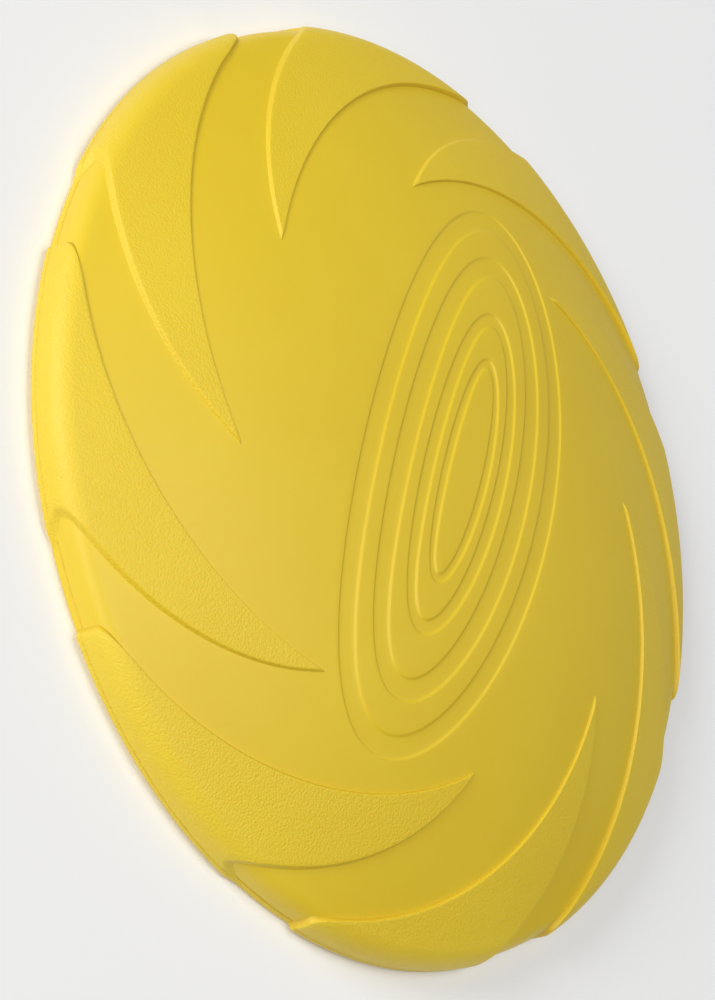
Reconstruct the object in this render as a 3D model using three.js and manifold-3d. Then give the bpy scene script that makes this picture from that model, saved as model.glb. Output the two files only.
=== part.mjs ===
// A soft rubber flying disc: a shallow dome that closes over a hollow underside,
// with eight raised spiral vanes that sweep from the dome out over the shoulder
// and down the rim wall, and four sunken oval bands around the middle.
//
// The real disc is one moulding. It is split here where its own edges show:
// each raised vane, the domed deck down to the mould parting line, and the
// thick rim ring that carries the flat edge the disc lies on.
//
// Millimetres, +Z up through the dome, z = 0 at the flat edge under the rim.

import * as THREE from 'three';
import { mergeVertices } from 'three/addons/utils/BufferGeometryUtils.js';
import Module from 'manifold-3d';

const wasm = await Module();
wasm.setup();

// Overall size
const DISC_RADIUS = 90; // over the vanes
const DECK_CROWN = 23.5; // top of the dome above the flat edge
const DOME_FALL = 17.6; // how far the dome drops by the time it reaches DISC_RADIUS
const DOME_POWER = 2.3; // a little over 2: the crown is flatter than a parabola's
const VANE_RISE_AT_RIM = 1.1;
const VANE_RISE_AT_TIP = 0.5;
const WALL_RADIUS = DISC_RADIUS - VANE_RISE_AT_RIM;
const SHOULDER_RADIUS = 4.1; // rounding between the dome and the rim wall

// Shell and rim section
const DECK_THICKNESS = 2.6;
const SKIRT_THICKNESS = 2.4;
const PARTING_HEIGHT = 1.9; // the mould parting line on the rim wall
const RIM_INNER_RADIUS = 81;
const RIM_EDGE_ROUNDING = 1.4;
const HOOK_REACH = 3; // how far the rim's hollow curve runs in under the dome
const HOOK_DROP = 1; // where that curve turns down
const FIT_GAP = 0.12;

// Vanes
const VANE_COUNT = 8;
const VANE_TIP_RADIUS = 55.2;
const VANE_TIP_BLUNTING = 0.5;
const VANE_FOOT_HEIGHT = 0.5; // the vanes stop just above the flat edge
const FIRST_TIP_ANGLE = 180;
// How far each edge has turned, in degrees clockwise from the tip seen from
// above. way runs from 0 at the tip to 1 at the top of the rim wall. The leading
// edge is nearly straight; the trailing edge leaves the tip faster and hooks round.
// Both stop turning part of the way over the shoulder.
const LEADING_STOP = 0.955;
const TRAILING_STOP = 0.93;
const TURN_EASING = 0.035; // half the stretch of the way over which an edge slows to a stop
const leadingTurn = (way) => {
  const reached = eased(way, LEADING_STOP);
  return 34.6 * reached + 4.4 * reached ** 3;
};
const trailingTurn = (way) => {
  const reached = eased(way, TRAILING_STOP);
  return 98.7 * reached - 53.3 * reached ** 2 + 30.1 * reached ** 3;
};
// How far the sides of a vane lean in from foot to top. The trailing side is
// steep, and the leading side widens from the tip to a long chamfer at the foot.
const TRAILING_LEAN_AT_TIP = 0.6;
const TRAILING_LEAN_AT_RIM = 0.9;
const LEADING_LEAN_AT_TIP = 0.7;
const LEADING_LEAN_AT_RIM = 2.4;
const LEADING_LEAN_AT_FOOT = 5.6;
const LEADING_FOOT_SPREAD = 4; // degrees that the leading side spreads down the wall
const MOST_LEAN_SHARE = 0.3; // neither side takes up more of the vane's width than this

// Sunken oval bands, from the outermost in
const OVAL_BANDS = [
  { halfLength: 59.7, halfWidth: 26.1, band: 4.2 },
  { halfLength: 48.9, halfWidth: 18.2, band: 4.3 },
  { halfLength: 35.6, halfWidth: 11, band: 2.8 },
  { halfLength: 25, halfWidth: 6.1, band: 1.8 },
];
const OVAL_ANGLE = 61.3;
const OVAL_DEPTH = 0.35;

// Mesh fineness
const LATHE_SEGMENTS = 84;
const OVAL_SEGMENTS = 48;
const DOME_ROWS = 10;
const SHOULDER_ROWS = 8;
const VANE_ROWS = 14;
const VANE_ROW_CROWDING = 1.2; // over 1: rows sit closer towards the tip
const WALL_ROWS = 2;
const VANE_COLUMNS = 8;

const rubber = (hex) => new THREE.MeshStandardMaterial({ color: hex, roughness: 0.55, metalness: 0 });

// ---- The outer profile of the deck ----

const domeHeight = (r) => DECK_CROWN - DOME_FALL * (r / DISC_RADIUS) ** DOME_POWER;
const domeSlope = (r) => ((-DOME_POWER * DOME_FALL) / DISC_RADIUS) * (r / DISC_RADIUS) ** (DOME_POWER - 1);

// A circle of SHOULDER_RADIUS that touches the wall and the dome.
function shoulderArc() {
  const centreRadius = WALL_RADIUS - SHOULDER_RADIUS;
  let touchRadius = centreRadius;
  for (let pass = 0; pass < 20; pass += 1) {
    const lean = Math.atan(-domeSlope(touchRadius));
    touchRadius = centreRadius + SHOULDER_RADIUS * Math.sin(lean);
  }
  const lean = Math.atan(-domeSlope(touchRadius));
  const centreHeight = domeHeight(touchRadius) - SHOULDER_RADIUS * Math.cos(lean);
  return { centreRadius, centreHeight, touchRadius, startAngle: Math.PI / 2 - lean };
}

const shoulder = shoulderArc();

// Points from the middle of the dome outwards, over the shoulder and down the wall.
function deckOutline(domeRows, shoulderRows, lowestHeight) {
  const points = [];
  for (let row = 0; row <= domeRows; row += 1) {
    const r = (shoulder.touchRadius * row) / domeRows;
    points.push(new THREE.Vector2(r, domeHeight(r)));
  }
  for (let row = 1; row <= shoulderRows; row += 1) {
    const angle = shoulder.startAngle * (1 - row / shoulderRows);
    points.push(
      new THREE.Vector2(
        shoulder.centreRadius + SHOULDER_RADIUS * Math.cos(angle),
        shoulder.centreHeight + SHOULDER_RADIUS * Math.sin(angle),
      ),
    );
  }
  points.push(new THREE.Vector2(WALL_RADIUS, lowestHeight));
  return points;
}

// ---- Helpers for joining and cutting ----

function toManifold(geometry) {
  const plain = geometry.clone();
  plain.deleteAttribute('normal');
  plain.deleteAttribute('uv');
  const merged = mergeVertices(plain, 1e-4);
  return new wasm.Manifold(
    new wasm.Mesh({
      numProp: 3,
      vertProperties: new Float32Array(merged.attributes.position.array),
      triVerts: new Uint32Array(merged.index.array),
    }),
  );
}

function toGeometry(solid) {
  const mesh = solid.getMesh();
  const geometry = new THREE.BufferGeometry();
  geometry.setAttribute('position', new THREE.BufferAttribute(new Float32Array(mesh.vertProperties), 3));
  geometry.setIndex(new THREE.BufferAttribute(new Uint32Array(mesh.triVerts), 1));
  geometry.computeVertexNormals();
  return geometry;
}

// A solid of revolution about +Z from a closed outline of (radius, height) points.
function spun(outline, segments = LATHE_SEGMENTS) {
  const ordered = THREE.ShapeUtils.isClockWise(outline) ? [...outline].reverse() : outline;
  return new THREE.LatheGeometry([...ordered, ordered[0]], segments).rotateX(Math.PI / 2);
}

// ---- Deck: dome, shoulder and skirt down to the parting line ----

const skirtInnerRadius = WALL_RADIUS - SKIRT_THICKNESS;

function deckSolid() {
  const outside = deckOutline(DOME_ROWS, SHOULDER_ROWS, PARTING_HEIGHT + FIT_GAP / 2);
  const inside = [new THREE.Vector2(skirtInnerRadius, PARTING_HEIGHT + FIT_GAP / 2)];
  const insideRows = DOME_ROWS - 2;
  for (let row = insideRows; row >= 0; row -= 1) {
    const r = (skirtInnerRadius * row) / insideRows;
    inside.push(new THREE.Vector2(r, domeHeight(r) - DECK_THICKNESS));
  }
  return toManifold(spun([...outside, ...inside]));
}

// Everything below the floor of the oval bands.
function bandFloorSolid() {
  const floor = [];
  for (let row = 0; row <= DOME_ROWS; row += 1) {
    const r = (shoulder.touchRadius * row) / DOME_ROWS;
    floor.push(new THREE.Vector2(r, domeHeight(r) - OVAL_DEPTH));
  }
  floor.push(new THREE.Vector2(shoulder.touchRadius, -1));
  floor.push(new THREE.Vector2(0, -1));
  return toManifold(spun(floor));
}

function ovalPrism(halfLength, halfWidth) {
  const shape = new THREE.Shape();
  const turn = THREE.MathUtils.degToRad(OVAL_ANGLE);
  shape.absellipse(0, 0, halfLength, halfWidth, 0, Math.PI * 2, false, turn);
  const depth = DECK_CROWN + 2;
  // An ellipse is drawn with two steps for each curve segment asked for.
  const curveSegments = OVAL_SEGMENTS / 2;
  return toManifold(new THREE.ExtrudeGeometry(shape, { depth, bevelEnabled: false, curveSegments }));
}

function grooved(deck) {
  const floor = bandFloorSolid();
  return OVAL_BANDS.reduce((solid, { halfLength, halfWidth, band }) => {
    const outer = ovalPrism(halfLength, halfWidth);
    const inner = ovalPrism(halfLength - band, halfWidth - band);
    return solid.subtract(outer.subtract(inner).subtract(floor));
  }, deck);
}

// ---- Rim: the thick ring inside the skirt, with a lip under it ----

function rimGeometry() {
  const backRadius = skirtInnerRadius - FIT_GAP;
  const lipTop = PARTING_HEIGHT - FIT_GAP / 2;
  const outline = [
    new THREE.Vector2(WALL_RADIUS - RIM_EDGE_ROUNDING / 2, 0),
    new THREE.Vector2(WALL_RADIUS - RIM_EDGE_ROUNDING / 8, RIM_EDGE_ROUNDING / 8),
    new THREE.Vector2(WALL_RADIUS, RIM_EDGE_ROUNDING / 2),
    new THREE.Vector2(WALL_RADIUS, lipTop),
    new THREE.Vector2(backRadius, lipTop),
  ];
  // Up the back of the skirt, then inwards just under the dome.
  const underDome = (r) => domeHeight(r) - DECK_THICKNESS - FIT_GAP;
  const topInnerRadius = RIM_INNER_RADIUS - HOOK_REACH;
  const topRows = 4;
  for (let row = 0; row <= topRows; row += 1) {
    const r = THREE.MathUtils.lerp(backRadius, topInnerRadius, row / topRows);
    outline.push(new THREE.Vector2(r, underDome(r)));
  }
  // A hollow curve where fingers hook under the rim, ending in the rounded inner edge.
  const hookTop = underDome(topInnerRadius);
  const hook = new THREE.QuadraticBezierCurve(
    new THREE.Vector2(topInnerRadius, hookTop),
    new THREE.Vector2(RIM_INNER_RADIUS, hookTop - HOOK_DROP),
    new THREE.Vector2(RIM_INNER_RADIUS, RIM_EDGE_ROUNDING),
  );
  outline.push(...hook.getPoints(5).slice(1));
  const inset = RIM_EDGE_ROUNDING * (1 - Math.SQRT1_2);
  outline.push(new THREE.Vector2(RIM_INNER_RADIUS + inset, inset));
  outline.push(new THREE.Vector2(RIM_INNER_RADIUS + RIM_EDGE_ROUNDING, 0));
  return toGeometry(toManifold(spun(outline)));
}

// ---- Vanes ----

// way, but slowing down so that it stops at last.
function eased(way, last) {
  const start = last - TURN_EASING;
  if (way <= start) {
    return way;
  }
  const share = Math.min((way - start) / (2 * TURN_EASING), 1);
  return start + TURN_EASING * (1 - (1 - share) ** 2);
}

// Stations along the deck's outer profile, from the vane tip over the shoulder
// to the foot. Each has its place on the deck, the direction that faces
// outwards there, and its distance from the tip measured along the profile.
function vaneStations() {
  const stations = [];
  const addStation = (r, height, facing) => {
    const point = new THREE.Vector2(r, height);
    const last = stations[stations.length - 1];
    const distance = last ? last.distance + point.distanceTo(last.point) : r - VANE_TIP_RADIUS;
    const outward = new THREE.Vector2(Math.cos(facing), Math.sin(facing));
    stations.push({ point, outward, distance });
  };
  for (let row = 0; row <= VANE_ROWS; row += 1) {
    // The vane changes width fastest near its tip, so the rows crowd towards it.
    const share = (row / VANE_ROWS) ** VANE_ROW_CROWDING;
    const r = THREE.MathUtils.lerp(VANE_TIP_RADIUS + VANE_TIP_BLUNTING, shoulder.touchRadius, share);
    addStation(r, domeHeight(r), Math.PI / 2 - Math.atan(-domeSlope(r)));
  }
  for (let row = 1; row <= SHOULDER_ROWS; row += 1) {
    const facing = shoulder.startAngle * (1 - row / SHOULDER_ROWS);
    addStation(
      shoulder.centreRadius + SHOULDER_RADIUS * Math.cos(facing),
      shoulder.centreHeight + SHOULDER_RADIUS * Math.sin(facing),
      facing,
    );
  }
  const wallTop = stations[stations.length - 1].distance;
  for (let row = 1; row <= WALL_ROWS; row += 1) {
    const height = THREE.MathUtils.lerp(shoulder.centreHeight, VANE_FOOT_HEIGHT, row / WALL_ROWS);
    addStation(WALL_RADIUS, height, 0);
  }
  return { stations, wallTop };
}

const { stations, wallTop } = vaneStations();

// One vane, lofted from cross-sections that run from its tip to its foot.
function vaneGeometry(tipAngle) {
  const positions = [];
  const indices = [];
  const loop = 2 * (VANE_COLUMNS + 1);
  const wallHeight = shoulder.centreHeight - VANE_FOOT_HEIGHT;
  for (const { point, outward, distance } of stations) {
    const way = Math.min(distance / wallTop, 1);
    const downWall = THREE.MathUtils.clamp((distance - wallTop) / wallHeight, 0, 1);
    const leading = leadingTurn(way) - LEADING_FOOT_SPREAD * downWall;
    const trailing = trailingTurn(way);
    const rise = THREE.MathUtils.lerp(VANE_RISE_AT_TIP, VANE_RISE_AT_RIM, way ** 2);
    // The sides' lean as angles at this radius, kept narrower than the vane.
    const mostLean = (trailing - leading) * MOST_LEAN_SHARE;
    const asTurn = (lean) => Math.min(THREE.MathUtils.radToDeg(lean / point.x), mostLean);
    const leadingLean = THREE.MathUtils.lerp(
      THREE.MathUtils.lerp(LEADING_LEAN_AT_TIP, LEADING_LEAN_AT_RIM, way ** 2),
      LEADING_LEAN_AT_FOOT,
      downWall,
    );
    const trailingLean = THREE.MathUtils.lerp(TRAILING_LEAN_AT_TIP, TRAILING_LEAN_AT_RIM, way);
    const topStart = leading + asTurn(leadingLean);
    const topEnd = trailing - asTurn(trailingLean);
    const place = (turn, lift) => {
      const angle = THREE.MathUtils.degToRad(tipAngle - turn);
      const r = point.x + outward.x * lift;
      positions.push(r * Math.cos(angle), r * Math.sin(angle), point.y + outward.y * lift);
    };
    for (let column = 0; column <= VANE_COLUMNS; column += 1) {
      place(THREE.MathUtils.lerp(leading, trailing, column / VANE_COLUMNS), FIT_GAP);
    }
    for (let column = VANE_COLUMNS; column >= 0; column -= 1) {
      place(THREE.MathUtils.lerp(topStart, topEnd, column / VANE_COLUMNS), rise);
    }
  }
  const addQuad = (a, b, c, d) => indices.push(a, c, b, a, d, c);
  const lastRow = stations.length - 1;
  for (let row = 0; row < lastRow; row += 1) {
    for (let column = 0; column < loop; column += 1) {
      const next = (column + 1) % loop;
      const here = row * loop;
      const ahead = here + loop;
      addQuad(here + column, here + next, ahead + next, ahead + column);
    }
  }
  // Close the two ends, joining each lower point to the upper point over it.
  for (let column = 0; column < VANE_COLUMNS; column += 1) {
    const upper = loop - 1 - column;
    const foot = lastRow * loop;
    addQuad(column, upper, upper - 1, column + 1);
    addQuad(foot + column, foot + column + 1, foot + upper - 1, foot + upper);
  }
  const geometry = new THREE.BufferGeometry();
  geometry.setAttribute('position', new THREE.Float32BufferAttribute(positions, 3));
  geometry.setIndex(indices);
  return toGeometry(toManifold(geometry));
}

// ---- Assembly ----

const group = new THREE.Group();
group.name = 'flying_disc';

function addPiece(name, geometry, hex) {
  const piece = new THREE.Mesh(geometry, rubber(hex));
  piece.name = name;
  group.add(piece);
}

addPiece('deck', toGeometry(grooved(deckSolid())), 0xe6cb3c);
addPiece('rim', rimGeometry(), 0xdfc235);
for (let index = 0; index < VANE_COUNT; index += 1) {
  const tipAngle = FIRST_TIP_ANGLE - (360 / VANE_COUNT) * index;
  addPiece(`vane_${index + 1}`, vaneGeometry(tipAngle), 0xe9cf42);
}

export default group;
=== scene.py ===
"""A soft yellow rubber flying disc lying dome up on a pale floor.

The disc is drawn as three kinds of piece over the CAD frame: the smooth deck
with its sunken oval bands, the rim with its flat edge and the hollow curve behind
it, and eight grained spiral vanes. Metres, +Z up, the rim's flat edge at z = 0.
"""

import math

import bmesh
import bpy
from mathutils import Matrix, Vector


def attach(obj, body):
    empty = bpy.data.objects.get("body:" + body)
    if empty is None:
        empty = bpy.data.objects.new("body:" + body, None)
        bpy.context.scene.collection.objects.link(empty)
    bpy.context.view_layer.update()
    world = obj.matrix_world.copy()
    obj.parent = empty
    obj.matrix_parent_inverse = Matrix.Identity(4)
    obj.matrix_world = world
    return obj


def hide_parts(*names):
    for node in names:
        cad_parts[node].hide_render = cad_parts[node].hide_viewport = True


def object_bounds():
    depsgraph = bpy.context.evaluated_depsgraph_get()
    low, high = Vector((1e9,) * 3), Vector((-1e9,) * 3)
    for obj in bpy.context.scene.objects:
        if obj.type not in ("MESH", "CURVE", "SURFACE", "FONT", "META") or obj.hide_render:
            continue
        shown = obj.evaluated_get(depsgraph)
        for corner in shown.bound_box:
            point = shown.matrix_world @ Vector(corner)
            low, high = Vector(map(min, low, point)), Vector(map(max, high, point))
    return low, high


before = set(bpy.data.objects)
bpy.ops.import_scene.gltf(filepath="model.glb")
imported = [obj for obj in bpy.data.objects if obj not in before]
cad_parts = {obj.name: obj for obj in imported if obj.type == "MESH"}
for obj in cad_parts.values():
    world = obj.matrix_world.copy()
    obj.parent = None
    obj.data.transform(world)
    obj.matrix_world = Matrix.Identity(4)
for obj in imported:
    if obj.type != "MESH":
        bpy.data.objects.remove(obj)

cad_low, cad_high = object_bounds()

MM = 0.001
TAU = 2 * math.pi

# ---- Driving sizes ----

DISC_RADIUS = (cad_high[0] - cad_low[0]) / 2
DECK_CROWN = cad_high[2]
DOME_FALL = 17.6 * MM  # how far the dome drops by the time it reaches DISC_RADIUS
DOME_POWER = 2.3  # a little over 2: the crown is flatter than a parabola's
RISE_AT_RIM = 1.1 * MM
RISE_AT_TIP = 0.5 * MM
WALL_RADIUS = DISC_RADIUS - RISE_AT_RIM
SHOULDER_RADIUS = 4.1 * MM

DECK_THICKNESS = 2.6 * MM
SKIRT_THICKNESS = 2.4 * MM
PARTING_HEIGHT = 1.9 * MM
PARTING_GROOVE = 0.22 * MM  # half the width, and the depth, of the mould line
RIM_INNER_RADIUS = 81 * MM
RIM_EDGE_ROUNDING = 1.4 * MM
HOOK_REACH = 3 * MM  # how far the rim's hollow curve runs in under the dome
HOOK_DROP = 1 * MM  # where that curve turns down

VANE_COUNT = 8
FIRST_TIP_ANGLE = math.pi
VANE_TIP_RADIUS = 55.2 * MM
VANE_TIP_BLUNTING = 0.5 * MM
VANE_TIP_SLOPE = 1.2 * MM
VANE_FOOT_HEIGHT = 0.5 * MM
VANE_FOOT_ROUNDING = 0.7 * MM
VANE_SINK = 0.25 * MM  # how deep a vane is bedded in the deck
SIDE_FOOT_SINK = 0.05 * MM  # a side starts this far under the deck, which hides its crease
# The share of the way from the tip to the top of the wall at which each edge stops
# turning, and half the stretch over which it slows to that stop.
LEADING_STOP = 0.955
TRAILING_STOP = 0.93
TURN_EASING = 0.035
# How wide a vane's sides are. The trailing side is steep, and the leading side
# widens from the tip to a long chamfer at the foot.
TRAILING_SIDE_AT_TIP = 0.9 * MM
TRAILING_SIDE_AT_RIM = 1.2 * MM
LEADING_SIDE_AT_TIP = 0.9 * MM
LEADING_SIDE_AT_RIM = 2.7 * MM
LEADING_SIDE_AT_FOOT = 5.6 * MM
LEADING_FOOT_SPREAD = math.radians(4)
MOST_SIDE_SHARE = 0.42  # neither side takes up more of the vane's width than this

OVAL_ANGLE = math.radians(61.3)
OVAL_DEPTH = 0.27 * MM
OVAL_EDGE = 0.7 * MM  # width of the soft slope at each side of a band
OVAL_BANDS = [
    # half-length, half-width, band width, from the outermost in
    (59.7 * MM, 26.1 * MM, 4.2 * MM),
    (48.9 * MM, 18.2 * MM, 4.3 * MM),
    (35.6 * MM, 11 * MM, 2.8 * MM),
    (25 * MM, 6.1 * MM, 1.8 * MM),
]

OPENING_WIDTH = 3 * MM  # from the outermost band to where the deck's rings are round
SMALLEST_OVAL = 0.1  # of the innermost band's inner edge, where the deck's middle closes

# Mesh fineness
ROUND_SEGMENTS = 360
BAND_EDGE_ROWS = 6
BAND_ROWS = 3
BETWEEN_BANDS_ROWS = 6
OPENING_ROWS = 24
DOME_ROWS = 40
SHOULDER_ROWS = 20
WALL_ROWS = 6
UNDER_ROWS = 24
ROUNDING_STEPS = 6
RIM_TOP_STEPS = 6
HOOK_STEPS = 14
VANE_ROWS = 80
VANE_FOOT_ROWS = 8
VANE_SIDE_STEPS = 10
VANE_TOP_STEPS = 28
ARC_SOLVING_ROUNDS = 20


def smooth(value):
    value = min(max(value, 0.0), 1.0)
    return value * value * (3 - 2 * value)


def mix(a, b, share):
    return a + (b - a) * share


# ---- The outer profile ----


def dome_height(r):
    return DECK_CROWN - DOME_FALL * (r / DISC_RADIUS) ** DOME_POWER


def dome_lean(r):
    return math.atan(DOME_POWER * DOME_FALL / DISC_RADIUS * (r / DISC_RADIUS) ** (DOME_POWER - 1))


def shoulder_arc():
    """The circle that touches the wall and the dome: centre, height, touch radius, start."""
    centre = WALL_RADIUS - SHOULDER_RADIUS
    touch = centre
    for _ in range(ARC_SOLVING_ROUNDS):
        touch = centre + SHOULDER_RADIUS * math.sin(dome_lean(touch))
    lean = dome_lean(touch)
    height = dome_height(touch) - SHOULDER_RADIUS * math.cos(lean)
    return centre, height, touch, math.pi / 2 - lean


ARC_RADIUS, ARC_HEIGHT, ARC_TOUCH, ARC_START = shoulder_arc()


def outer_profile(start_radius, dome_rows, wall_rows, lowest_height):
    """(radius, height, facing) from start_radius out over the shoulder and down the wall."""
    stations = []
    for row in range(dome_rows + 1):
        r = mix(start_radius, ARC_TOUCH, row / dome_rows)
        stations.append((r, dome_height(r), math.pi / 2 - dome_lean(r)))
    for row in range(1, SHOULDER_ROWS + 1):
        facing = ARC_START * (1 - row / SHOULDER_ROWS)
        r = ARC_RADIUS + SHOULDER_RADIUS * math.cos(facing)
        stations.append((r, ARC_HEIGHT + SHOULDER_RADIUS * math.sin(facing), facing))
    for row in range(1, wall_rows + 1):
        stations.append((WALL_RADIUS, mix(ARC_HEIGHT, lowest_height, row / wall_rows), 0.0))
    return stations


# ---- Mesh helpers ----


def add_ring(mesh_data, r, z):
    """A round ring of vertices, starting on the ovals' long axis."""
    ring = []
    for index in range(ROUND_SEGMENTS):
        angle = OVAL_ANGLE + TAU * index / ROUND_SEGMENTS
        ring.append(mesh_data.verts.new((r * math.cos(angle), r * math.sin(angle), z)))
    return ring


def join_rings(mesh_data, lower, upper):
    count = len(lower)
    for index in range(count):
        after = (index + 1) % count
        mesh_data.faces.new((lower[index], lower[after], upper[after], upper[index]))


def close_with_point(mesh_data, ring, z):
    point = mesh_data.verts.new((0, 0, z))
    for index, vert in enumerate(ring):
        mesh_data.faces.new((point, vert, ring[(index + 1) % len(ring)]))


def finish_piece(name, mesh_data, material, node_name):
    bmesh.ops.recalc_face_normals(mesh_data, faces=mesh_data.faces)
    mesh = bpy.data.meshes.new(name)
    mesh_data.to_mesh(mesh)
    mesh_data.free()
    mesh.polygons.foreach_set("use_smooth", [True] * len(mesh.polygons))
    mesh.materials.append(material)
    piece = bpy.data.objects.new(name, mesh)
    bpy.context.collection.objects.link(piece)
    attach(piece, "root")
    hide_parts(node_name)


# ---- Materials ----


def new_material(name):
    material = bpy.data.materials.new(name)
    material.use_nodes = True
    nodes = material.node_tree.nodes
    return material, nodes, material.node_tree.links, nodes["Principled BSDF"]


# Scales are in cells per metre.
DRIFT_SCALE = 22  # slow changes of tone over the disc
DRIFT_DETAIL = 4
DRIFT_LOW = 0.3  # the noise values at which the tone is deepest and lightest
DRIFT_HIGH = 0.7
SKIN_SCALE = 900  # the moulded rubber's own fine unevenness
SKIN_DETAIL = 3
SKIN_STRENGTH = 0.12
SKIN_HEIGHT = 0.05 * MM
SKIN_GLOSS = (-0.05, 0.08)  # how far the skin takes the roughness down and up
GRAIN_CELLS = 2250  # pebbles per metre
GRAIN_HEIGHT = 0.12 * MM
RIM_WEAR = 0.3  # how far the most worn patches of the rim go towards pale and polished
WORN_COLOUR = (0.9, 0.72, 0.1)
WORN_POLISH = -0.2  # what full wear would add to the roughness
# Painted shade: the foot of each vane's trailing side is darkened and warmed in its base colour,
# where shadow falls in that crease.
PAINTED_FOOT_SHADE = 0.55  # painted shade: how far the foot of a vane's trailing side is darkened towards the painted shade colour
PAINTED_FOOT_SHADE_COLOUR = (0.58, 0.33, 0.006)
PAINTED_SHADE_LAYER = "painted_foot_shade"

# A Mix node's colour sockets share their names with its other kinds, so go by number.
MIX_FACTOR, MIX_FIRST, MIX_SECOND, MIX_RESULT = 0, 6, 7, 2


def rubber(name, light_colour, deep_colour, grain, roughness):
    """Soft yellow rubber: slow colour drift, fine skin, and moulded grain of strength grain; with
    grain, also painted shade at the foot of the vanes' trailing sides.
    """
    material, nodes, links, shader = new_material(name)
    place = nodes.new("ShaderNodeTexCoord")

    drift = nodes.new("ShaderNodeTexNoise")
    drift.inputs["Scale"].default_value = DRIFT_SCALE
    drift.inputs["Detail"].default_value = DRIFT_DETAIL
    tone = nodes.new("ShaderNodeValToRGB")
    tone.color_ramp.elements[0].position = DRIFT_LOW
    tone.color_ramp.elements[0].color = (*deep_colour, 1)
    tone.color_ramp.elements[1].position = DRIFT_HIGH
    tone.color_ramp.elements[1].color = (*light_colour, 1)
    links.new(place.outputs["Object"], drift.inputs["Vector"])
    links.new(drift.outputs["Fac"], tone.inputs["Fac"])

    # The rim is handled and dragged most, so it is a touch paler and smoother in patches.
    reach = nodes.new("ShaderNodeVectorMath")
    reach.operation = "LENGTH"
    near_rim = nodes.new("ShaderNodeMapRange")
    near_rim.inputs["From Min"].default_value = WALL_RADIUS - SHOULDER_RADIUS
    near_rim.inputs["From Max"].default_value = DISC_RADIUS
    near_rim.inputs["To Max"].default_value = RIM_WEAR
    worn = nodes.new("ShaderNodeMath")
    worn.operation = "MULTIPLY"
    links.new(place.outputs["Object"], reach.inputs[0])
    links.new(reach.outputs["Value"], near_rim.inputs["Value"])
    links.new(near_rim.outputs["Result"], worn.inputs[0])
    links.new(drift.outputs["Fac"], worn.inputs[1])

    paling = nodes.new("ShaderNodeMix")
    paling.data_type = "RGBA"
    paling.inputs[MIX_SECOND].default_value = (*WORN_COLOUR, 1)
    links.new(worn.outputs["Value"], paling.inputs[MIX_FACTOR])
    links.new(tone.outputs["Color"], paling.inputs[MIX_FIRST])
    colour = paling.outputs[MIX_RESULT]

    if grain:
        # Painted shade: the crease where a vane's trailing side meets the deck is darkened and
        # warmed in the base colour, where shadow falls.
        foot = nodes.new("ShaderNodeAttribute")
        foot.attribute_name = PAINTED_SHADE_LAYER
        painted_shade_mix = nodes.new("ShaderNodeMix")
        painted_shade_mix.data_type = "RGBA"
        painted_shade_mix.inputs[MIX_SECOND].default_value = (*PAINTED_FOOT_SHADE_COLOUR, 1)
        links.new(foot.outputs["Fac"], painted_shade_mix.inputs[MIX_FACTOR])
        links.new(colour, painted_shade_mix.inputs[MIX_FIRST])
        colour = painted_shade_mix.outputs[MIX_RESULT]
    links.new(colour, shader.inputs["Base Color"])

    skin = nodes.new("ShaderNodeTexNoise")
    skin.inputs["Scale"].default_value = SKIN_SCALE
    skin.inputs["Detail"].default_value = SKIN_DETAIL
    links.new(place.outputs["Object"], skin.inputs["Vector"])

    gloss = nodes.new("ShaderNodeMapRange")
    gloss.inputs["To Min"].default_value = roughness + SKIN_GLOSS[0]
    gloss.inputs["To Max"].default_value = roughness + SKIN_GLOSS[1]
    links.new(skin.outputs["Fac"], gloss.inputs["Value"])
    polish = nodes.new("ShaderNodeMath")
    polish.operation = "MULTIPLY_ADD"
    polish.inputs[1].default_value = WORN_POLISH
    links.new(worn.outputs["Value"], polish.inputs[0])
    links.new(gloss.outputs["Result"], polish.inputs[2])
    links.new(polish.outputs["Value"], shader.inputs["Roughness"])

    skin_bump = nodes.new("ShaderNodeBump")
    skin_bump.inputs["Strength"].default_value = SKIN_STRENGTH
    skin_bump.inputs["Distance"].default_value = SKIN_HEIGHT
    links.new(skin.outputs["Fac"], skin_bump.inputs["Height"])
    last_bump = skin_bump

    if grain:
        pebbles = nodes.new("ShaderNodeTexVoronoi")
        pebbles.inputs["Scale"].default_value = GRAIN_CELLS
        pebble_bump = nodes.new("ShaderNodeBump")
        pebble_bump.invert = True
        pebble_bump.inputs["Strength"].default_value = grain
        pebble_bump.inputs["Distance"].default_value = GRAIN_HEIGHT
        links.new(place.outputs["Object"], pebbles.inputs["Vector"])
        links.new(pebbles.outputs["Distance"], pebble_bump.inputs["Height"])
        links.new(skin_bump.outputs["Normal"], pebble_bump.inputs["Normal"])
        last_bump = pebble_bump
    links.new(last_bump.outputs["Normal"], shader.inputs["Normal"])

    # A little light passes through the thin skin, most of all the red.
    shader.inputs["Subsurface Weight"].default_value = 0.15
    shader.inputs["Subsurface Radius"].default_value = (1.0, 0.5, 0.1)
    shader.inputs["Subsurface Scale"].default_value = 0.4 * MM
    shader.inputs["Specular IOR Level"].default_value = 0.6
    shader.inputs["Sheen Weight"].default_value = 0.015
    shader.inputs["Sheen Roughness"].default_value = 0.5
    return material


SMOOTH_RUBBER = rubber(
    "smooth_rubber",
    light_colour=(0.84, 0.605, 0.02),
    deep_colour=(0.80, 0.565, 0.014),
    grain=0.0,
    roughness=0.48,
)
GRAINED_RUBBER = rubber(
    "grained_rubber",
    light_colour=(0.86, 0.625, 0.022),
    deep_colour=(0.82, 0.58, 0.016),
    grain=0.65,
    roughness=0.52,
)

# ---- Deck: one closed shell from the crown to the parting line ----


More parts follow.
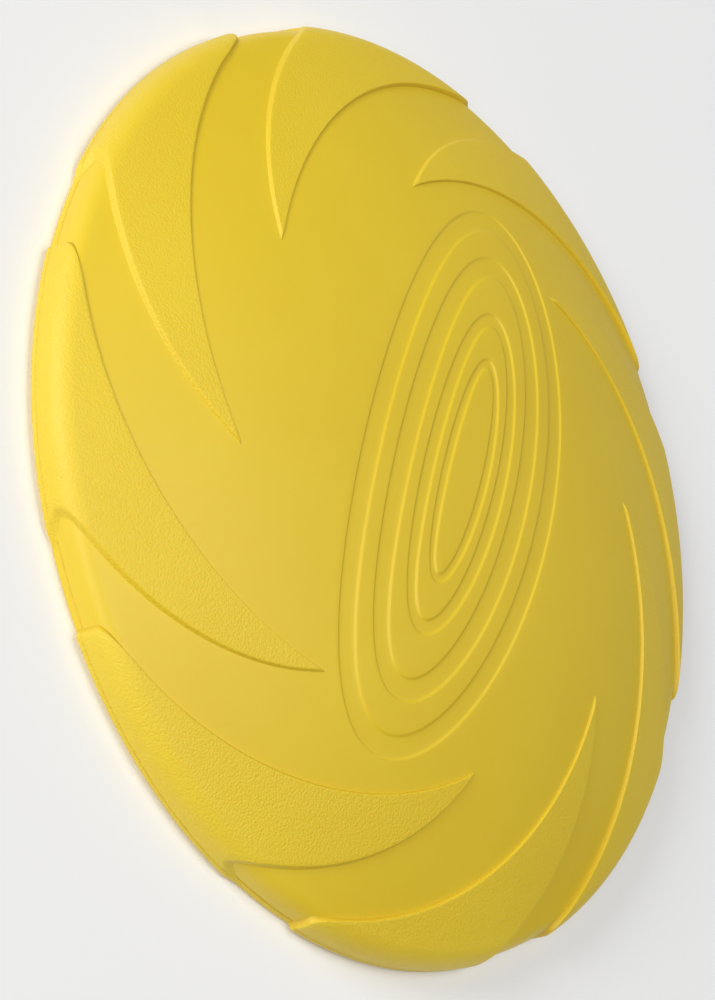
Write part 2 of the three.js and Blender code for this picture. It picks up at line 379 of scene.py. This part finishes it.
def add_oval_ring(mesh_data, half_length, half_width, offset, drop):
    """A ring on the deck that runs at an even distance outside an oval."""
    ring = []
    for index in range(ROUND_SEGMENTS):
        turn = TAU * index / ROUND_SEGMENTS
        outward = Vector((half_width * math.cos(turn), half_length * math.sin(turn))).normalized()
        along = half_length * math.cos(turn) + outward.x * offset
        across = half_width * math.sin(turn) + outward.y * offset
        x = along * math.cos(OVAL_ANGLE) - across * math.sin(OVAL_ANGLE)
        y = along * math.sin(OVAL_ANGLE) + across * math.cos(OVAL_ANGLE)
        ring.append(mesh_data.verts.new((x, y, dome_height(math.hypot(x, y)) - drop)))
    return ring


def oval_rings(mesh_data):
    """Rings from the outermost band in to the middle, dense where the bands' sides slope."""
    rings = []

    def add_side(half_length, half_width, drop_before, drop_after):
        for row in range(BAND_EDGE_ROWS + 1):
            share = row / BAND_EDGE_ROWS
            drop = mix(drop_before, drop_after, smooth(share))
            rings.append(
                add_oval_ring(mesh_data, half_length, half_width, OVAL_EDGE * (0.5 - share), drop)
            )

    def add_level(outer, inner, drop, rows):
        for row in range(1, rows):
            share = row / rows
            half_length, half_width = mix(outer[0], inner[0], share), mix(outer[1], inner[1], share)
            rings.append(add_oval_ring(mesh_data, half_length, half_width, 0, drop))

    shrink = OVAL_EDGE / 2
    for number, (half_length, half_width, band) in enumerate(OVAL_BANDS):
        inner_length, inner_width = half_length - band, half_width - band
        add_side(half_length, half_width, 0, OVAL_DEPTH)
        add_level(
            (half_length - shrink, half_width - shrink),
            (inner_length + shrink, inner_width + shrink),
            OVAL_DEPTH,
            BAND_ROWS,
        )
        add_side(inner_length, inner_width, OVAL_DEPTH, 0)
        if number + 1 < len(OVAL_BANDS):
            next_length, next_width, _ = OVAL_BANDS[number + 1]
        else:
            next_length, next_width = inner_length * SMALLEST_OVAL, inner_width * SMALLEST_OVAL
        add_level(
            (inner_length - shrink, inner_width - shrink),
            (next_length + shrink, next_width + shrink),
            0,
            BETWEEN_BANDS_ROWS,
        )
    return rings


def build_deck():
    mesh_data = bmesh.new()
    rings = oval_rings(mesh_data)
    close_with_point(mesh_data, rings[-1], DECK_CROWN)
    rings.reverse()

    # From the outermost oval the rings open out to a circle, then follow the profile.
    half_length, half_width, _ = OVAL_BANDS[0]
    circle_radius = half_length + OPENING_WIDTH
    for row in range(1, OPENING_ROWS):
        share = row / OPENING_ROWS
        long_side = mix(half_length + OVAL_EDGE / 2, circle_radius, share)
        short_side = mix(half_width + OVAL_EDGE / 2, circle_radius, share)
        rings.append(add_oval_ring(mesh_data, long_side, short_side, 0, 0))
    wall_foot = PARTING_HEIGHT + PARTING_GROOVE
    for r, z, _ in outer_profile(circle_radius, DOME_ROWS, WALL_ROWS, wall_foot):
        rings.append(add_ring(mesh_data, r, z))

    # Round the mould line's groove, along the skirt's lower face, and back under the dome.
    rings.append(add_ring(mesh_data, WALL_RADIUS - PARTING_GROOVE, PARTING_HEIGHT))
    skirt_inner = WALL_RADIUS - SKIRT_THICKNESS
    rings.append(add_ring(mesh_data, skirt_inner, PARTING_HEIGHT))
    for row in range(UNDER_ROWS):
        r = skirt_inner * (1 - row / UNDER_ROWS)
        rings.append(add_ring(mesh_data, r, dome_height(r) - DECK_THICKNESS))
    for here, ahead in zip(rings, rings[1:]):
        join_rings(mesh_data, here, ahead)
    close_with_point(mesh_data, rings[-1], DECK_CROWN - DECK_THICKNESS)
    finish_piece("deck_skin", mesh_data, SMOOTH_RUBBER, "deck")


# ---- Rim: lip, flat edge and the hollow curve behind it ----


def rim_outline():
    """Closed (radius, height) outline, from the flat edge up the outside and round."""
    outline = []
    quarter = [math.pi / 2 * step / ROUNDING_STEPS for step in range(ROUNDING_STEPS + 1)]
    lip_rounding = RIM_EDGE_ROUNDING / 2
    for turn in quarter:
        r = WALL_RADIUS - lip_rounding * (1 - math.sin(turn))
        outline.append((r, lip_rounding * (1 - math.cos(turn))))
    # The lip stops a hair short of the wall above it, which leaves the fine mould line.
    outline.append((WALL_RADIUS, PARTING_HEIGHT - PARTING_GROOVE))
    outline.append((WALL_RADIUS - PARTING_GROOVE, PARTING_HEIGHT))
    back = WALL_RADIUS - SKIRT_THICKNESS
    outline.append((back, PARTING_HEIGHT))
    top_inner = RIM_INNER_RADIUS - HOOK_REACH
    for step in range(RIM_TOP_STEPS + 1):
        r = mix(back, top_inner, step / RIM_TOP_STEPS)
        outline.append((r, dome_height(r) - DECK_THICKNESS))
    hook_top = dome_height(top_inner) - DECK_THICKNESS
    start = Vector((top_inner, hook_top))
    bend = Vector((RIM_INNER_RADIUS, hook_top - HOOK_DROP))
    end = Vector((RIM_INNER_RADIUS, RIM_EDGE_ROUNDING))
    for step in range(1, HOOK_STEPS + 1):
        share = step / HOOK_STEPS
        point = start.lerp(bend, share).lerp(bend.lerp(end, share), share)
        outline.append((point.x, point.y))
    for turn in quarter[1:]:
        r = RIM_INNER_RADIUS + RIM_EDGE_ROUNDING * (1 - math.cos(turn))
        outline.append((r, RIM_EDGE_ROUNDING * (1 - math.sin(turn))))
    return outline


def build_rim():
    mesh_data = bmesh.new()
    rings = [add_ring(mesh_data, r, z) for r, z in rim_outline()]
    for here, ahead in zip(rings, rings[1:] + rings[:1]):
        join_rings(mesh_data, here, ahead)
    finish_piece("rim_ring", mesh_data, SMOOTH_RUBBER, "rim")


# ---- Vanes ----


def eased(way, stop):
    """way, but slowing down so that it ends at stop."""
    start = stop - TURN_EASING
    if way <= start:
        return way
    share = min((way - start) / (2 * TURN_EASING), 1.0)
    return start + TURN_EASING * (1 - (1 - share) ** 2)


def leading_turn(way):
    reached = eased(way, LEADING_STOP)
    return math.radians(34.6 * reached + 4.4 * reached**3)


def trailing_turn(way):
    reached = eased(way, TRAILING_STOP)
    return math.radians(98.7 * reached - 53.3 * reached**2 + 30.1 * reached**3)


# (share across, share up) over one side of a vane: hollow at its foot, rounded at its top.
SIDE_PROFILE = [
    (step / VANE_SIDE_STEPS, smooth(step / VANE_SIDE_STEPS)) for step in range(VANE_SIDE_STEPS)
]


def vane_section(leading, trailing, leading_side, trailing_side, rise):
    """(turn, lift, painted shade) over a vane's rounded top, then as many points back underneath.
    """
    most_side = (trailing - leading) * MOST_SIDE_SHARE
    leading_side = min(leading_side, most_side)
    trailing_side = min(trailing_side, most_side)
    over = []
    for across, up in SIDE_PROFILE:
        over.append((leading + leading_side * across, mix(-SIDE_FOOT_SINK, rise, up), 0.0))
    for step in range(VANE_TOP_STEPS + 1):
        share = step / VANE_TOP_STEPS
        over.append((mix(leading + leading_side, trailing - trailing_side, share), rise, 0.0))
    for across, up in reversed(SIDE_PROFILE):
        lift = mix(-SIDE_FOOT_SINK, rise, up)
        # The trailing side's foot carries the painted shade, strongest at the bottom.
        over.append((trailing - trailing_side * across, lift, PAINTED_FOOT_SHADE * (1 - up)))
    under = [(turn, -VANE_SINK, 0.0) for turn, _, _ in reversed(over)]
    return over + under


def vane_stations():
    """(radius, height, facing, distance from the tip, notch), with the mould line's notch."""
    start_radius = VANE_TIP_RADIUS + VANE_TIP_BLUNTING
    places = [(*place, 0.0) for place in outer_profile(start_radius, VANE_ROWS, 0, 0)]
    # Down the wall: above the mould line, across its notch, then round to the foot.
    above, below = PARTING_HEIGHT + PARTING_GROOVE, PARTING_HEIGHT - PARTING_GROOVE
    for row in range(1, WALL_ROWS + 1):
        places.append((WALL_RADIUS, mix(ARC_HEIGHT, above, row / WALL_ROWS), 0.0, 0.0))
    places.append((WALL_RADIUS, PARTING_HEIGHT, 0.0, PARTING_GROOVE))
    for row in range(VANE_FOOT_ROWS + 1):
        height = mix(below, VANE_FOOT_HEIGHT, row / VANE_FOOT_ROWS)
        places.append((WALL_RADIUS, height, 0.0, 0.0))
    distance = VANE_TIP_BLUNTING
    stations = [(*places[0][:3], distance, 0.0)]
    for before, here in zip(places, places[1:]):
        distance += math.hypot(here[0] - before[0], here[1] - before[1])
        stations.append((*here[:3], distance, here[3]))
    return stations


VANE_STATIONS = vane_stations()
WALL_TOP = VANE_STATIONS[VANE_ROWS + SHOULDER_ROWS][3]
WALL_LENGTH = ARC_HEIGHT - VANE_FOOT_HEIGHT


def vane_rise(way, distance, z):
    near_tip = math.sqrt(smooth((distance - VANE_TIP_BLUNTING) / VANE_TIP_SLOPE))
    foot_share = min(max((z - VANE_FOOT_HEIGHT) / VANE_FOOT_ROUNDING, 0.0), 1.0)
    near_foot = math.sqrt(1 - (1 - foot_share) ** 2)
    return mix(RISE_AT_TIP, RISE_AT_RIM, way**2) * near_tip * near_foot


def build_vane(number):
    tip_angle = FIRST_TIP_ANGLE - TAU / VANE_COUNT * (number - 1)
    mesh_data = bmesh.new()
    # The painted shade goes on the mesh as a value per vertex, read by the material.
    painted_foot_shade = mesh_data.verts.layers.float.new(PAINTED_SHADE_LAYER)
    rings = []
    for r, z, facing, distance, notch in VANE_STATIONS:
        way = min(distance / WALL_TOP, 1.0)
        down_wall = min(max((distance - WALL_TOP) / WALL_LENGTH, 0.0), 1.0)
        leading_side = mix(LEADING_SIDE_AT_TIP, LEADING_SIDE_AT_RIM, way**2)
        section = vane_section(
            leading_turn(way) - LEADING_FOOT_SPREAD * down_wall,
            trailing_turn(way),
            mix(leading_side, LEADING_SIDE_AT_FOOT, down_wall) / r,
            mix(TRAILING_SIDE_AT_TIP, TRAILING_SIDE_AT_RIM, way) / r,
            vane_rise(way, distance, z) - notch,
        )
        ring = []
        for turn, lift, painted_shade in section:
            angle = tip_angle - turn
            out = r + math.cos(facing) * lift
            up = z + math.sin(facing) * lift
            vert = mesh_data.verts.new((out * math.cos(angle), out * math.sin(angle), up))
            vert[painted_foot_shade] = painted_shade
            ring.append(vert)
        rings.append(ring)
    for here, ahead in zip(rings, rings[1:]):
        join_rings(mesh_data, here, ahead)
    for end in (rings[0], rings[-1]):
        half = len(end) // 2
        for index in range(half - 1):
            opposite = len(end) - 1 - index
            mesh_data.faces.new((end[index], end[index + 1], end[opposite - 1], end[opposite]))
    node_name = f"vane_{number}"
    finish_piece(f"{node_name}_skin", mesh_data, GRAINED_RUBBER, node_name)


build_deck()
build_rim()
for vane_number in range(1, VANE_COUNT + 1):
    build_vane(vane_number)

# ---- Floor, light and camera ----

FLOOR_HALF_SIZE = 6.0
FLOOR_GREY = 0.97
FLOOR_GLOW = 0.03  # lifts the paper towards white
LIGHT_DISTANCE = 3.0
ROUND_LIGHT = 0.14  # the dim even light from all sides
BACKDROP = 0.8  # how bright the camera sees what lies past the floor

LENS = 138.334  # millimetres, with SENSOR_WIDTH
SENSOR_WIDTH = 36
CAMERA_PLACE = (-0.54916, -0.14145, 0.4477)
CAMERA_BACKWARDS = (-0.7579, -0.1948, 0.6226)  # from the disc towards the camera
CAMERA_RIGHT = (0.6475, -0.1084, 0.7543)  # close to the picture's right


def build_floor():
    mesh_data = bmesh.new()
    bmesh.ops.create_grid(mesh_data, x_segments=2, y_segments=2, size=FLOOR_HALF_SIZE)
    mesh = bpy.data.meshes.new("floor")
    mesh_data.to_mesh(mesh)
    mesh_data.free()
    floor = bpy.data.objects.new("floor", mesh)
    bpy.context.collection.objects.link(floor)
    material, _, _, shader = new_material("floor_paper")
    shader.inputs["Base Color"].default_value = (FLOOR_GREY, FLOOR_GREY, FLOOR_GREY, 1)
    shader.inputs["Roughness"].default_value = 0.9
    shader.inputs["Specular IOR Level"].default_value = 0.1
    shader.inputs["Emission Color"].default_value = (1, 1, 1, 1)
    shader.inputs["Emission Strength"].default_value = FLOOR_GLOW
    mesh.materials.append(material)


def add_area_light(name, direction, spread, power):
    """A round soft light LIGHT_DISTANCE away.

    spread is its width over its distance. power is what it would need from a metre away.
    """
    data = bpy.data.lights.new(name, "AREA")
    data.shape = "DISK"
    data.size = spread * LIGHT_DISTANCE
    data.energy = power * LIGHT_DISTANCE**2
    light = bpy.data.objects.new(name, data)
    light.location = Vector(direction).normalized() * LIGHT_DISTANCE
    light.rotation_mode = "QUATERNION"
    light.rotation_quaternion = (-light.location).to_track_quat("-Z", "Y")
    bpy.context.collection.objects.link(light)


def build_world():
    """A dim even light all round, behind which the camera sees a pale backdrop."""
    world = bpy.data.worlds.new("studio")
    world.use_nodes = True
    nodes = world.node_tree.nodes
    links = world.node_tree.links
    lighting = nodes["Background"]
    lighting.inputs["Color"].default_value = (1, 1, 1, 1)
    lighting.inputs["Strength"].default_value = ROUND_LIGHT
    backdrop = nodes.new("ShaderNodeBackground")
    backdrop.inputs["Color"].default_value = (1, 1, 1, 1)
    backdrop.inputs["Strength"].default_value = BACKDROP
    seen_by = nodes.new("ShaderNodeLightPath")
    choose = nodes.new("ShaderNodeMixShader")
    links.new(seen_by.outputs["Is Camera Ray"], choose.inputs["Fac"])
    links.new(lighting.outputs["Background"], choose.inputs[1])
    links.new(backdrop.outputs["Background"], choose.inputs[2])
    links.new(choose.outputs["Shader"], nodes["World Output"].inputs["Surface"])
    bpy.context.scene.world = world


build_floor()
# The key light stands low on the -X side, so the vane edges that face it catch the light.
add_area_light("key", (-0.852, 0.397, 0.342), spread=0.47, power=5.5)
add_area_light("side", (-0.761, -0.204, 0.616), spread=0.47, power=2.5)
add_area_light("top", (0.05, 0.0, 1.0), spread=0.6, power=3.6)
add_area_light("fill", (0.8, 0.15, 0.55), spread=0.6, power=0.3)
build_world()
bpy.context.scene.view_settings.view_transform = "Standard"


def add_camera():
    """Above the -X side and rolled well over, so that the disc looks stood on edge."""
    data = bpy.data.cameras.new("camera")
    data.lens = LENS
    data.sensor_width = SENSOR_WIDTH
    data.clip_start = 0.01
    data.clip_end = 20
    camera = bpy.data.objects.new("camera", data)
    backwards = Vector(CAMERA_BACKWARDS).normalized()
    picture_up = backwards.cross(Vector(CAMERA_RIGHT)).normalized()
    picture_right = picture_up.cross(backwards)
    turned = Matrix((picture_right, picture_up, backwards)).transposed()
    camera.matrix_world = Matrix.Translation(CAMERA_PLACE) @ turned.to_4x4()
    bpy.context.collection.objects.link(camera)
    bpy.context.scene.camera = camera


add_camera()
